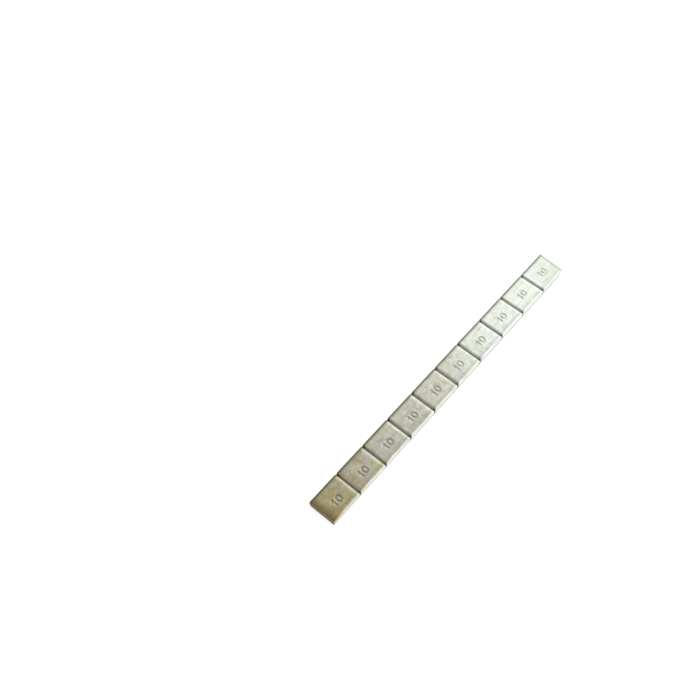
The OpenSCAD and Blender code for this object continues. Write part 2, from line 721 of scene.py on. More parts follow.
@dataclass(frozen=True)
class LeadFinish:
    """Bare lead: dull satin, clean at its far end, duller half way and golden at its near end, partly
    painted light.

    Attributes:
        clean: Colour of clean lead, painted light enough to stand for the lamp's reflection at the
            far end.
        dull: Colour of dull lead half way along, partly tarnish and partly painted shade.
        golden: Colour of golden tarnish at the near end, painted darker there as shade too.
        rosy: Tint of the warmer patches.
        olive: Tint of the greener patches.
        brown: Colour of the near end right at its cut.
        orange: Colour of the stain round one corner of the near end.
        grime_and_shade: Colour of grime, and of the painted shade in the notches, in the stamped
            strokes, along the left shoulder and on the cut ends.
        deep: Colour of the stain and painted shade on the cut ends, strong on the near one and thin
            on the far one.
        bright: Colour of worn edges, of painted highlights and of a fresh cut.
        bright_golden: The same where the lead is golden.
        warp: How far patches shift the borders of the tarnish and its painted shade along the strip.
        golden_tarnish_and_shade: How golden and dark the lead is along the strip, by tarnish and
            painted shade.
        dull_tarnish_and_shade: How dull and dark it is along the strip, by tarnish and painted shade.
        streaks: Pattern drawn out along the strip.
        patches: Pattern of slow patches.
        clouds: Pattern of smaller clouds.
        grain: Pattern of fine grain.
        tints: Pattern of the rosy and olive patches.
        drags: Pattern of upright lines on the two ends.
        hairlines: Patterns whose crests are sparse scratches, under three headings.
        scratch_crest: How a scratch rises from the crest of its pattern.
        pit_scale: Pits per millimetre.
        pit_edge: How a pit fades from its middle.
        rosy_where: Where the tint's pattern is rosy.
        olive_where: Where it is olive.
        tint_strength: Strength of both tints on clean lead, and what dull and yellow lead add.
        stained_corner: Place that the orange stain spreads from.
        corner_stain: How it fades with distance.
        edge_stain: How the brown fades from the near end's cut.
        stain_blotch: How patches thin both.
        cloud_dirt: Dirt in the clouds.
        cloud_thinning: How that thins along the strip.
        streak_dirt: Dirt in the streaks.
        grain_dirt: Dirt in the grain.
        pit_dirt: Share of grime in a pit.
        dirt_and_shade_strength: Share of that colour where grime and painted shade are strongest.
        wear_and_highlight_gleam: Share of bright metal where wear and painted highlights are
            strongest.
        scratch_gleam: Share of bright metal in a scratch.
        fresh_cut: How fresh the cuts look, from the near end to the far end.
        foot_stain_and_shade: How the stain and painted shade on the cuts thin with height.
        foot_along: How they thin from the near end to the far end.
        patch_roughness: Roughness with the patches.
        grain_roughness: What the grain adds to it.
        rubbed_roughness: What rubbing adds.
        sunk_roughness: What grime and painted shade add.
        grain_depth: Depth of the grain, in millimetres.
        streak_depth: Depth of the streaks.
        scratch_depth: Depth of a scratch.
        pit_depth: Depth of a pit.
        drag_depth: Depth of the lines on the ends.
        metallic: Share of bare metal.
    """

    clean: Colour = (0.68, 0.712, 0.648)
    dull: Colour = (0.595, 0.585, 0.505)
    golden: Colour = (0.56, 0.49, 0.265)
    rosy: Colour = (0.60, 0.49, 0.43)
    olive: Colour = (0.50, 0.52, 0.26)
    brown: Colour = (0.22, 0.155, 0.055)
    orange: Colour = (0.45, 0.31, 0.09)
    grime_and_shade: Colour = (0.13, 0.115, 0.085)
    deep: Colour = (0.12, 0.085, 0.035)
    bright: Colour = (0.92, 0.93, 0.91)
    bright_golden: Colour = (0.84, 0.80, 0.66)
    warp: Change = Change(0.35, 0.65, -10.0, 10.0)
    golden_tarnish_and_shade: Change = Change(-90.0, -38.0, 1.0, 0.0)
    dull_tarnish_and_shade: Change = Change(-10.0, 30.0, 1.0, 0.0)
    streaks: Noise = Noise(2.4, 4, 0.6, (0.035, 1.0, 1.0))
    patches: Noise = Noise(0.16, 3, 0.55)
    clouds: Noise = Noise(0.55, 4, 0.6)
    grain: Noise = Noise(7.0, 3, 0.6)
    tints: Noise = Noise(0.24, 3, 0.6)
    drags: Noise = Noise(1.6, 3, 0.65, (0.5, 6.0, 0.5))
    hairlines: tuple[Noise, ...] = tuple(
        Noise(scale, 1, stretch=(0.05, 3.2, 0.4), turn=turn)
        for turn, scale in ((0.10, 1.9), (-0.45, 1.3), (1.25, 0.9))
    )
    scratch_crest: Change = Change(0.70, 0.76)
    pit_scale: float = 1.1
    pit_edge: Change = Change(0.05, 0.16, 1.0, 0.0)
    rosy_where: Change = Change(0.52, 0.66)
    olive_where: Change = Change(0.34, 0.48, 1.0, 0.0)
    tint_strength: tuple[float, float, float] = (0.20, 0.26, 0.44)
    stained_corner: tuple[float, float, float] = (-92.0, -6.5, 2.0)
    corner_stain: Change = Change(1.0, 13.0, 0.7, 0.0)
    edge_stain: Change = Change(-90.5, -84.8, 1.0, 0.0)
    stain_blotch: Change = Change(0.3, 0.6, 0.8, 1.0)
    cloud_dirt: Change = Change(0.4, 0.7, end=0.32)
    cloud_thinning: Change = Change(-10.0, 90.0, 1.0, 0.25)
    streak_dirt: Change = Change(0.42, 0.66, end=0.26)
    grain_dirt: Change = Change(0.5, 0.8, end=0.34)
    pit_dirt: float = 0.35
    dirt_and_shade_strength: float = 0.95
    wear_and_highlight_gleam: float = 0.88
    scratch_gleam: float = 0.35
    fresh_cut: Change = Change(-90.0, 90.0, end=0.6)
    foot_stain_and_shade: Change = Change(2.4, 4.7, 1.0, 0.7)
    foot_along: Change = Change(-90.0, 90.0, 1.0, 0.3)
    patch_roughness: Change = Change(0.3, 0.7, 0.32, 0.40)
    grain_roughness: Change = Change(0.3, 0.7, -0.03, 0.05)
    rubbed_roughness: float = -0.04
    sunk_roughness: float = 0.18
    grain_depth: float = 0.010
    streak_depth: float = 0.014
    scratch_depth: float = 0.006
    pit_depth: float = 0.020
    drag_depth: float = 0.05
    metallic: float = 0.9

    def material(self) -> bpy.types.Material:
        """Builds the finish.

        Tarnish with tinted patches and stains lies lowest, partly painted light along the strip.
        Clouds, streaks, grain and pits hold grime over it, and what is worn, scratched or freshly
        cut, and the painted highlights and painted shade, lie on top. The strip's marks say where
        grime and painted shade darken it, where wear and painted highlights brighten it, and where it
        is sheared.

        Returns:
            The material.
        """
        material, graph = new_material("bare_lead")
        place = graph.place()
        along, _, height = graph.add("ShaderNodeSeparateXYZ", {"Vector": place}).outputs
        streaks, patches, clouds, grain = (
            graph.pattern(place, noise)
            for noise in (self.streaks, self.patches, self.clouds, self.grain)
        )
        crests = (graph.pattern(place, noise) for noise in self.hairlines)
        scratches = graph.sum(*(graph.follow(crest, self.scratch_crest) for crest in crests))
        pits = graph.follow(graph.cells(place, self.pit_scale), self.pit_edge)
        dirt_and_shade, rubbed_and_lit, sheared = (graph.mark(mark) for mark in Mark)

        # Painted light along the strip: lighter at the far end, darker and golden at the near end,
        # partly tarnish and partly painted shade where less of the lamp's reflection falls.
        warped = graph.sum(along, graph.follow(patches, self.warp))
        golden_and_shaded = graph.follow(warped, self.golden_tarnish_and_shade)
        dull_and_shaded = graph.follow(warped, self.dull_tarnish_and_shade)
        colour = graph.mix(dull_and_shaded, self.clean, self.dull)
        colour = graph.mix(golden_and_shaded, colour, self.golden)
        colour = self._tinted(graph, place, dull_and_shaded, golden_and_shaded, colour)
        colour = self._stained(graph, place, along, patches, colour)
        gleam = graph.mix(golden_and_shaded, self.bright, self.bright_golden)
        cloudy = graph.follow(clouds, self.cloud_dirt)
        # Stain and painted shade on the cut ends, darkest low on the near cut, which faces away from
        # the lamp.
        foot = graph.product(sheared, graph.follow(height, self.foot_stain_and_shade))
        for share, over in (
            (graph.product(cloudy, graph.follow(along, self.cloud_thinning)), self.grime_and_shade),
            (graph.follow(streaks, self.streak_dirt), self.grime_and_shade),
            (graph.follow(grain, self.grain_dirt), self.grime_and_shade),
            (graph.product(pits, self.pit_dirt), self.grime_and_shade),
            # Wear and painted highlights: worn edges, and rims, notches and sides painted bright for
            # the lamp.
            (graph.product(rubbed_and_lit, self.wear_and_highlight_gleam), gleam),
            (graph.product(scratches, self.scratch_gleam), gleam),
            (graph.product(sheared, graph.follow(along, self.fresh_cut)), self.bright),
            # Grime and painted shade where the strip's marks lay them.
            (graph.product(dirt_and_shade, self.dirt_and_shade_strength), self.grime_and_shade),
            (graph.product(foot, graph.follow(along, self.foot_along)), self.deep),
        ):
            colour = graph.mix(share, colour, over)

        roughness = graph.sum(
            graph.follow(patches, self.patch_roughness),
            graph.follow(grain, self.grain_roughness),
            graph.product(rubbed_and_lit, self.rubbed_roughness),
            graph.product(dirt_and_shade, self.sunk_roughness),
        )
        drags = graph.product(graph.pattern(place, self.drags), sheared)
        normal = None
        for relief, depth in (
            (grain, self.grain_depth),
            (streaks, self.streak_depth),
            (graph.product(scratches, -1.0), self.scratch_depth),
            (graph.product(pits, -1.0), self.pit_depth),
            (drags, self.drag_depth),
        ):
            normal = graph.bump(relief, depth, normal)
        graph.finish(
            graph.surface(
                base_color=colour, metallic=self.metallic, roughness=roughness, normal=normal
            )
        )
        return material

    def _tinted(self, graph: Graph, place: Any, dull_and_shaded: Any, golden_and_shaded: Any, colour: Any) -> Any:
        """Lays rosy and olive patches over a colour, stronger where it is dull and yellow.

        Args:
            graph: The finish's graph.
            place: Place on the strip.
            dull_and_shaded: How dull and dark the lead is, by tarnish and painted shade.
            golden_and_shaded: How golden and dark it is, by tarnish and painted shade.
            colour: The colour so far.

        Returns:
            The tinted colour.
        """
        tint = graph.pattern(place, self.tints)
        clean, dull, yellow = self.tint_strength
        strength = graph.sum(clean, graph.product(dull_and_shaded, dull), graph.product(golden_and_shaded, yellow))
        for where, over in ((self.rosy_where, self.rosy), (self.olive_where, self.olive)):
            colour = graph.mix(graph.product(strength, graph.follow(tint, where)), colour, over)
        return colour

    def _stained(self, graph: Graph, place: Any, along: Any, patches: Any, colour: Any) -> Any:
        """Browns a colour along the near end's cut, with orange round the stained corner.

        Args:
            graph: The finish's graph.
            place: Place on the strip.
            along: Place along the strip.
            patches: The slow patches.
            colour: The colour so far.

        Returns:
            The stained colour.
        """
        inputs = {0: place, 1: self.stained_corner}
        away = graph.add("ShaderNodeVectorMath", inputs, operation="DISTANCE").outputs["Value"]
        blotchy = graph.follow(patches, self.stain_blotch)
        for where, stain, over in (
            (away, self.corner_stain, self.orange),
            (along, self.edge_stain, self.brown),
        ):
            share = graph.product(graph.follow(where, stain), blotchy)
            colour = graph.mix(share, colour, over)
        return colour


@dataclass(frozen=True)
class EndShade:
    """Painted shade that darkens the cut ends of the tape and the liner.

    Attributes:
        colour: Colour of the painted shade.
        cover: How much of it covers each distance from the middle of the strip.
    """

    colour: Colour = (0.07, 0.05, 0.022)
    cover: Change = Change(88.9, 89.3, end=0.95)

    def over(self, graph: Graph, place: Any, colour: Any) -> Any:
        """Lays the painted shade over a colour at both ends of the strip."""
        along = graph.add("ShaderNodeSeparateXYZ", {0: place}).outputs[0]
        away = graph.add("ShaderNodeMath", {0: along}, operation="ABSOLUTE").outputs[0]
        # Painted shade: both cut ends go nearly black.
        return graph.mix(graph.follow(away, self.cover), colour, self.colour)


@dataclass(frozen=True)
class FoamFinish:
    """Closed-cell foam tape: nearly black, paler along its near half, painted dark at both ends as
    shade.

    Attributes:
        cut: Colour of the cut cells.
        hollow: Colour in their hollows.
        pale_edge: Colour of the paler edge along the near half.
        end_shade: Painted shade on both ends.
        large_cells: Large cells per millimetre.
        small_cells: Small cells per millimetre.
        large_share: Share of the large cells in the mixture.
        open_where: Where a cell shows its cut rim.
        patches: Pattern of slow patches.
        patch_hollow: How much darker the patches are.
        pale_edge_along: How pale the edge is along the strip.
        cell_depth: Depth of a cell, in millimetres.
        roughness: Roughness of the foam.
        gloss: Its specular level.
    """

    cut: Colour = (0.07, 0.07, 0.078)
    hollow: Colour = (0.03, 0.03, 0.034)
    pale_edge: Colour = (0.74, 0.73, 0.69)
    end_shade: EndShade = EndShade()
    large_cells: float = 5.0
    small_cells: float = 11.0
    large_share: float = 0.6
    open_where: Change = Change(0.15, 0.5)
    patches: Noise = Noise(0.4)
    patch_hollow: Change = Change(0.3, 0.7, end=0.25)
    pale_edge_along: Change = Change(-90.0, 45.0, 0.85, 0.0)
    cell_depth: float = 0.06
    roughness: float = 0.85
    gloss: float = 0.3

    def material(self) -> bpy.types.Material:
        """Builds the finish: scattered cells, darker in their hollows, over slow patches.

        Returns:
            The material.
        """
        material, graph = new_material("grey_foam")
        place = graph.place()
        large, small = graph.cells(place, self.large_cells), graph.cells(place, self.small_cells)
        cells = graph.sum(
            graph.product(large, self.large_share), graph.product(small, 1 - self.large_share)
        )
        patches = graph.pattern(place, self.patches)
        along = graph.add("ShaderNodeSeparateXYZ", {0: place}).outputs[0]
        colour = graph.mix(graph.follow(cells, self.open_where), self.hollow, self.cut)
        colour = graph.mix(graph.follow(patches, self.patch_hollow), colour, self.hollow)
        colour = graph.mix(graph.follow(along, self.pale_edge_along), colour, self.pale_edge)
        # Painted shade on both cut ends of the tape.
        colour = self.end_shade.over(graph, place, colour)
        graph.finish(
            graph.surface(
                base_color=colour,
                roughness=self.roughness,
                specular_ior_level=self.gloss,
                normal=graph.bump(cells, self.cell_depth),
            )
        )
        return material


@dataclass(frozen=True)
class LinerFinish:
    """Coated release paper: off-white, faintly fibrous, with a soft shine.

    Attributes:
        sheet: Colour of the paper.
        fibre: Colour of its fibres.
        end_shade: Painted shade on both ends.
        fibres: Patterns of the fibres, under three headings.
        clouds: Pattern of slow clouds.
        fibre_show: How the fibres show.
        cloud_show: How the clouds show.
        shine: Roughness with the fibres.
        fibre_depth: Depth of a fibre, in millimetres.
        coat: Weight and roughness of the clear coat.
    """

    sheet: Colour = (0.87, 0.86, 0.80)
    fibre: Colour = (0.76, 0.74, 0.66)
    end_shade: EndShade = EndShade()
    fibres: tuple[Noise, ...] = tuple(
        Noise(1.6, 3, 0.6, (0.6, 4.0, 1.0), turn) for turn in (0.3, 1.2, 2.3)
    )
    clouds: Noise = Noise(0.25, 3)
    fibre_show: Change = Change(0.42, 0.62, end=0.6)
    cloud_show: Change = Change(0.35, 0.7, end=0.3)
    shine: Change = Change(0.3, 0.7, 0.38, 0.52)
    fibre_depth: float = 0.008
    coat: float = 0.25

    def material(self) -> bpy.types.Material:
        """Builds the finish: crossing fibres under a thin even coat.

        Returns:
            The material.
        """
        material, graph = new_material("release_paper")
        place = graph.place()
        fibres = [graph.pattern(place, noise) for noise in self.fibres]
        web = graph.product(graph.sum(*fibres), 1 / len(fibres))
        clouds = graph.pattern(place, self.clouds)
        colour = graph.mix(graph.follow(web, self.fibre_show), self.sheet, self.fibre)
        colour = graph.mix(graph.follow(clouds, self.cloud_show), colour, self.fibre)
        graph.finish(
            graph.surface(
                # Painted shade on both cut ends of the liner.
                base_color=self.end_shade.over(graph, place, colour),
                roughness=graph.follow(web, self.shine),
                coat_weight=self.coat,
                coat_roughness=self.coat,
                normal=graph.bump(web, self.fibre_depth),
            )
        )
        return material


@dataclass(frozen=True)
class Whereabouts:
    """Where each point of the strip lies, in the ways that grime, wear and painted light go by.

    Attributes:
        share: Share of the strip's length, from 0 at the near end to 1 at the far end.
        from_near: Distance from the near end.
        to_far: Distance from the far end.
        from_left: Distance in from the left wall.
        inward: Distance in from the nearer wall.
        past_shoulder: Distance in from where the side's shoulder starts.
        on_right: Whether it lies on the right half.
        height: Height above the ground, in thicknesses of the web under a notch.
        from_notch: Distance from the notch's middle, in shares of that from it to its brow.
        past_brow: Distance outwards from the notch's brow.
        past_notch: Whether it lies on the near half of its segment, past the notch before it.
        away: Distance from the outline of the number.
        nearing: How much of that is lost by a short step towards the far end.
    """

    share: Array
    from_near: Array
    to_far: Array
    from_left: Array
    inward: Array
    past_shoulder: Array
    on_right: Array
    height: Array
    from_notch: Array
    past_brow: Array
    past_notch: Array
    away: Array
    nearing: Array


@dataclass(frozen=True)
class GrimeWearAndPaintedLight:
    """Where grime and painted shade darken the strip, and where wear and painted highlights brighten
    it.

    A mark is an amount times a smooth step, fall or band of a distance. Where marks meet, the
    strongest counts. A span gives the two distances of a step or fall.

    Attributes:
        figure_dirt_and_shade: Grime and painted shade in the stamped strokes.
        figure_edge: Span over their outline.
        left_painted_shade: Painted shade along the left shoulder.
        left_edge: Span in from the left wall.
        brow_dirt: Dirt past the right shoulder.
        brow_more: How much more of it there is away from the near end.
        brow_start: Span from the near end over which that comes.
        brow_band: Band in from where the shoulder starts.
        far_darkening: How much darker the strip grows towards the far end.
        far_start: Span from the far end.
        cut_darkening: How much darker it is right at the far cut.
        cut_start: Span from the far end.
        root_dirt_and_shade: Grime and painted shade in the notches' roots.
        root_edge: Span from a notch's middle, in shares of the distance to its brow.
        mouth_painted_shade: Painted shade in the notches' right mouths.
        mouth_edge: Span in from the right wall.
        step: The short step that tells which rims of the figures face the far end.
        facing: Span of what that step loses.
        figure_highlight: Painted highlight on those rims.
        figure_rim: Band over the outline.
        wear_and_sheen_past: Wear and painted highlight on the brow past a notch.
        wear_and_sheen_before: Wear and painted highlight on the brow before a notch.
        notch_rim: Band outwards from a notch's brow.
        notch_start: Span from the near end over which that wear and highlight come.
        right_rim: Band in from the right wall that is painted bright as a highlight.
        right_start: Span from the near end over which that comes.
        patchy: Unevenness of the wear and painted highlights on the rims.
        patchy_mean: Its mean.
        lip: Span outwards from a notch's brow, inside which the notch is painted brighter.
        side_wear_and_sheen: Wear on the side walls, and painted highlight for the light that falls on
            them.
        side_more: How much more of it there is away from the near end.
        side_start: Span from the near end over which that comes.
        side_rise: Span of height, in thicknesses of the web under a notch.
    """

    figure_dirt_and_shade: Trend = Trend(0.52, 0.10)
    figure_edge: Span = (-0.15, 0.3)
    left_painted_shade: Trend = Trend(1.0, 0.78)
    left_edge: Span = (0.6, 1.25)
    brow_dirt: Trend = Trend(0.14, 0.02)
    brow_more: float = 0.26
    brow_start: Span = (8.0, 30.0)
    brow_band: Band = Band(0.4, 0.1, 0.8)
    far_darkening: float = 0.08
    far_start: Span = (6.0, 20.0)
    cut_darkening: float = 0.40
    cut_start: Span = (0.3, 2.2)
    root_dirt_and_shade: Trend = Trend(0.28, 0.44)
    root_edge: Span = (0.2, 0.8)
    mouth_painted_shade: float = 0.45
    mouth_edge: Span = (0.5, 1.6)
    step: float = 0.35
    facing: Span = (0.05, 0.3)
    figure_highlight: Trend = Trend(0.62, 0.07)
    figure_rim: Band = Band(0.15, 0.1, 0.45)
    wear_and_sheen_past: float = 0.9
    wear_and_sheen_before: float = 0.2
    notch_rim: Band = Band(0.9, 0.2, 0.9)
    notch_start: Span = (1.0, 60.0)
    right_rim: Band = Band(0.2, 0.0, 0.6)
    right_start: Span = (0.5, 12.0)
    patchy: Ripple = Ripple(0.9, 6.0, 7)
    patchy_mean: float = 0.7
    lip: Span = (-0.15, 0.0)
    side_wear_and_sheen: float = 0.60
    side_more: float = 0.15
    side_start: Span = (2.0, 30.0)
    side_rise: Span = (0.5, 2.0)

    def dirt_and_shade(self, at: Whereabouts, upper: Array) -> Array:
        """How much grime and painted shade darken each point.

        Args:
            at: Where the points lie.
            upper: Whether a point lies on the upper side.

        Returns:
            Values between 0 and 1.
        """
        # Grime and painted shade in the stamped strokes, stronger at the near end.
        in_figure = self.figure_dirt_and_shade.at(at.share) * smooth_fall(at.away, *self.figure_edge)
        # Painted shade: a dark line along the left shoulder.
        painted_left_shade = self.left_painted_shade.at(at.share) * smooth_fall(at.from_left, *self.left_edge)
        brow = self.brow_dirt.at(at.share)
        brow = brow + self.brow_more * smooth_step(at.from_near, *self.brow_start)
        by_brow = at.on_right * brow * self.brow_band.at(at.past_shoulder)
        # Grime and painted shade in the notches' roots.
        in_root = self.root_dirt_and_shade.at(at.share) * smooth_fall(at.from_notch, *self.root_edge)
        found = [in_figure, painted_left_shade, by_brow, self._darker_at_far_end(at), in_root]
        # Painted shade in the right mouths of the notches.
        return np.maximum(upper * np.max(found, axis=0), self.mouth_painted_shade * self._in_mouth(at))

    def rubbed_and_lit(self, at: Whereabouts, upper: Array, patches: Array) -> Array:
        """How much wear and painted highlights brighten each point.

        Args:
            at: Where the points lie.
            upper: Whether a point lies on the upper side.
            patches: How strong wear and painted highlights on the rims are at each point, about the
                mean.

        Returns:
            Values between 0 and 1.
        """
        # Wear and painted highlights on the notches' brows, growing towards the far end.
        by_notch = np.where(at.past_notch, self.wear_and_sheen_past, self.wear_and_sheen_before)
        by_notch = by_notch * self.notch_rim.at(at.past_brow)
        by_notch = by_notch * smooth_step(at.from_near, *self.notch_start)
        # Painted highlight along the right rim, which faces the lamp.
        by_right = at.on_right * self.right_rim.at(at.inward)
        by_right = by_right * smooth_step(at.from_near, *self.right_start)
        on_rims = np.clip(np.maximum(by_notch, by_right) * (self.patchy_mean + patches), 0, 1)
        # Painted highlight on the rims of the figures that face the far end, towards the lamp.
        by_figure = self.figure_highlight.at(at.share) * smooth_step(at.nearing, *self.facing)
        by_figure = by_figure * self.figure_rim.at(at.away)
        on_rims = on_rims * (1 - self._darker_at_far_end(at))
        # The notches are painted brighter too: painted light on their walls.
        on_top = np.max([on_rims, self._in_notch(at), by_figure], axis=0)
        # The side walls are painted brighter: partly wear, partly painted highlight, more towards the
        # far end.
        on_side = self.side_wear_and_sheen + self.side_more * smooth_step(at.from_near, *self.side_start)
        on_side = on_side * smooth_step(at.height, *self.side_rise)
        return np.where(upper, on_top, on_side) * (1 - self._in_mouth(at))

    def _darker_at_far_end(self, at: Whereabouts) -> Array:
        """Darkening towards the far end: gradual, and more right at the cut."""
        haze = self.far_darkening * smooth_fall(at.to_far, *self.far_start)
        return haze + self.cut_darkening * smooth_fall(at.to_far, *self.cut_start)

    def _in_notch(self, at: Whereabouts) -> Array:
        """1 between a notch's two brows and 0 outside them."""
        return smooth_fall(at.past_brow, *self.lip)

    def _in_mouth(self, at: Whereabouts) -> Array:
        """1 in the right mouth of a notch, and 0 farther in and outside it."""
        return at.on_right * self._in_notch(at) * smooth_fall(at.inward, *self.mouth_edge)


@dataclass(frozen=True)
class WeightStrip:
    """The lead strip: notched into segments, stamped with their weight, sheared at both ends.

    Attributes:
        block: The CAD node's box.
        segments: Number of segments.
        side: Shoulder along each long edge.
        notch_shoulder: Shoulder on each side of a notch.
        half_mouth: Half a notch's width between its lips.
        root: Radius at a notch's root.
        web: Thickness of the metal under a notch.
        edge: Radius of the long edges on the underside.
        end_roll: Radius to which the shears rolled over the top edge at each end.
        number: The number on each segment.
        number_along: How far the number's middle lies past its segment's middle.
        number_across: Where the first number's middle lies across the strip.
        number_climb: How far the last number lies further across than the first.
        climb_bend: Power by which the climb steepens towards the far end.
        stamp_depth: How deep the number is stamped.
        stamp_wall: Width of the sloping walls round the stamped strokes.
        burr: Height that the stamp raised beside the strokes, as a share of the clearance.
        burr_width: How far from a stroke it reaches.
        mesh_step: Distance between points round the number.
        snap: How far a point moves to the number's outline, in such distances.
        fine_reach: Half the length of that fine stretch, in heights of a figure.
        fine_margin: How far it reaches across past the figures.
        steps_along: Steps from a notch to the fine stretch and from that to the next notch.
        steps_across: Steps from the right edge to the fine stretch and from that to the left.
        lip_steps: Steps round a side's lip.
        arc_steps: Steps over a side's large arc.
        under_steps: Steps across the underside.
        wall_steps: Steps down a side wall.
        edge_steps: Steps round a long edge on the underside.
        end_steps: Steps round the edge of each end.
        cuts: The cuts at the two ends.
        hollow: How far the middle of a segment's face dips below its edges.
        clearance: How far the face lies inside the CAD solid, for its unevenness.
        mitre_power: Power by which the falls add up where shoulders cross.
        dish_power: Power by which a face's dish rises to its edges.
        waves: Slow and fine unevenness of the face.
        fine_across: How much quicker the fine one changes across the strip than along it.
        bulge: Unevenness of the side walls.
        bulge_up: How much quicker that changes up a wall than along it.
        bulge_apart: How far from its middle each wall reads it, one on either side.
        bulge_clear: How far it stays below a wall's lip.
        level: Span of depth below the face over which its own marks fade out.
        notch_roll: Span of a notch's depth over which the side's lip rolls over its edge.
        end_ease: Radius by which the rings at the two ends draw in.
        end_inset: How much farther in each end has a ring on its flat.
        end_marks: What the marks say on the two ends; the first lays grime and painted shade on both.
        grime_wear_and_painted_light: The strip's grime, wear, painted shade and painted highlights.
    """

    block: Block
    segments: int = 10
    side: Shoulder = Shoulder(run=0.8, drop=0.55, lip=0.15)
    notch_shoulder: Shoulder = Shoulder(run=1.8, drop=0.40, lip=0.15)
    half_mouth: float = 0.6
    root: float = 0.15
    web: float = 1.2
    edge: float = 0.3
    end_roll: float = 0.3
    number: StampedNumber = StampedNumber()
    number_along: float = -0.15
    number_across: float = -1.57
    number_climb: float = 1.5
    climb_bend: float = 1.4
    stamp_depth: float = 0.20
    stamp_wall: float = 0.15
    burr: float = 0.6
    burr_width: float = 0.35
    mesh_step: float = 0.12
    snap: float = 0.45
    fine_reach: float = 0.7
    fine_margin: float = 0.25
    steps_along: tuple[int, int] = (4, 3)
    steps_across: tuple[int, int] = (3, 4)
    lip_steps: int = 5
    arc_steps: int = 7
    under_steps: int = 4
    wall_steps: int = 5
    edge_steps: int = 4
    end_steps: int = 3
    cuts: ShearCuts = ShearCuts()
    hollow: float = 0.025
    clearance: float = 0.02
    mitre_power: int = 4
    dish_power: int = 4
    waves: tuple[Ripple, Ripple] = (Ripple(0.012, 5.0, 3), Ripple(0.004, 1.3, 4))
    fine_across: float = 1.5
    bulge: Ripple = Ripple(0.02, 9.0, 5)
    bulge_up: float = 2.0
    bulge_apart: float = 40.0
    bulge_clear: float = 0.05
    level: Span = (0.0, 0.25)
    notch_roll: Span = (0.3, 1.2)
    end_ease: float = 0.10
    end_inset: float = 0.25
    # The first end mark lays grime and painted shade over both cut faces.
    end_marks: tuple[float, float, float] = (0.4, 0.0, 1.0)
    grime_wear_and_painted_light: GrimeWearAndPaintedLight = GrimeWearAndPaintedLight()

    @property
    def pitch(self) -> float:
        """Length of one segment."""
        return self.block.length / self.segments

    @property
    def notch(self) -> Notch:
        """The notch between two segments."""
        depth = self.block.thickness
        return Notch(self.half_mouth, self.root, self.web, depth, self.notch_shoulder)

    def stations(self) -> Array:
        """Places along the strip that have a ring of points.

        Every segment has the same ones: close round its notches, even and fine over its number.

        Returns:
            The places, from end to end.
        """
        near = self.notch.places()
        zone = self.number.height * self.fine_reach
        middle = self.pitch / 2 + self.number_along
        count = int(round(2 * zone / self.mesh_step))
        fine = np.linspace(middle - zone, middle + zone, count + 1)
        before = between(near[-1], fine[0], self.steps_along[0])
        after = between(fine[-1], self.pitch - near[-1], self.steps_along[1])
        one = np.concatenate([near, before, fine, after, (self.pitch - near)[::-1][:-1]])
        starts = self.block.low[0] + np.arange(self.segments) * self.pitch
        return np.append((starts[:, None] + one[None, :]).ravel(), self.block.high[0])

    def columns(self) -> Array:
        """Places across the top that have a line of points.

        They are close over the two shoulders, and even and fine over all that the numbers cover.

        Returns:
            The places, from the right wall to the left.
        """
        half = self.block.half_width
        edge = self.side.places(self.lip_steps, self.arc_steps)
        zone = self.number.height / 2 + self.fine_margin
        last = self.number_across + self.number_climb
        count = int(round((last - self.number_across + 2 * zone) / self.mesh_step))
        fine = np.linspace(self.number_across - zone, last + zone, count + 1)
        before = between(edge[-1] - half, fine[0], self.steps_across[0])
        after = between(fine[-1], half - edge[-1], self.steps_across[1])
        return np.concatenate([edge - half, before, fine, after, (half - edge)[::-1]])

    def build(self) -> bpy.types.Object:
        """Builds the strip as rings round its section.

        Returns:
            The piece.
        """
        x, y = np.meshgrid(self.stations(), self.columns(), indexing="ij")
        x, y = self._fit_to_outline(x, y)
        top = np.stack([x, y, self._top_height(x, y)], axis=-1)
        left = self._wall(top[:, -1], 1.0)
        right = self._wall(top[:, 0], -1.0)[:, ::-1]
        under_y = between(left[0, -1, 1], right[0, 0, 1], self.under_steps)
        under = np.zeros((len(x), len(under_y), 3))
        under[..., 0] = x[:, :1]
        under[..., 1] = under_y
        under[..., 2] = self.block.low[2]
        rings = np.concatenate([top, left, under, right], axis=1)
        marks = self._marks(rings, top.shape[1])
        rings[..., 0] = self.cuts.along(rings, self.block)
        rings, marks = self._close_ends(rings, marks)
        return make_piece("lead_strip", rings, marks)

    def _segment(self, x: Array) -> Array:
        """Which segment each place lies on, counted from the near end."""
        return np.clip(np.floor((x - self.block.low[0]) / self.pitch), 0, self.segments - 1)

    def _segment_place(self, x: Array) -> Array:
        """Place along the strip from the middle of its own segment."""
        return x - self.block.low[0] - (self._segment(x) + 0.5) * self.pitch

    def _from_notch(self, x: Array) -> Array:
        """Distance along the strip from the middle of the nearest notch."""
        pitches = (x - self.block.low[0]) / self.pitch
        nearest = np.clip(np.round(pitches), 1, self.segments - 1)
        return np.abs(pitches - nearest) * self.pitch

    def _outline(self, x: Array, y: Array) -> Array:
        """Distance from the outline of the number on the nearest segment.

        The numbers climb across the strip along a curve that steepens towards the far end.
        """
        climbed = (self._segment(x) / (self.segments - 1)) ** self.climb_bend
        across = self.number_across + self.number_climb * climbed
        return self.number.outline(self._segment_place(x) - self.number_along, y - across)

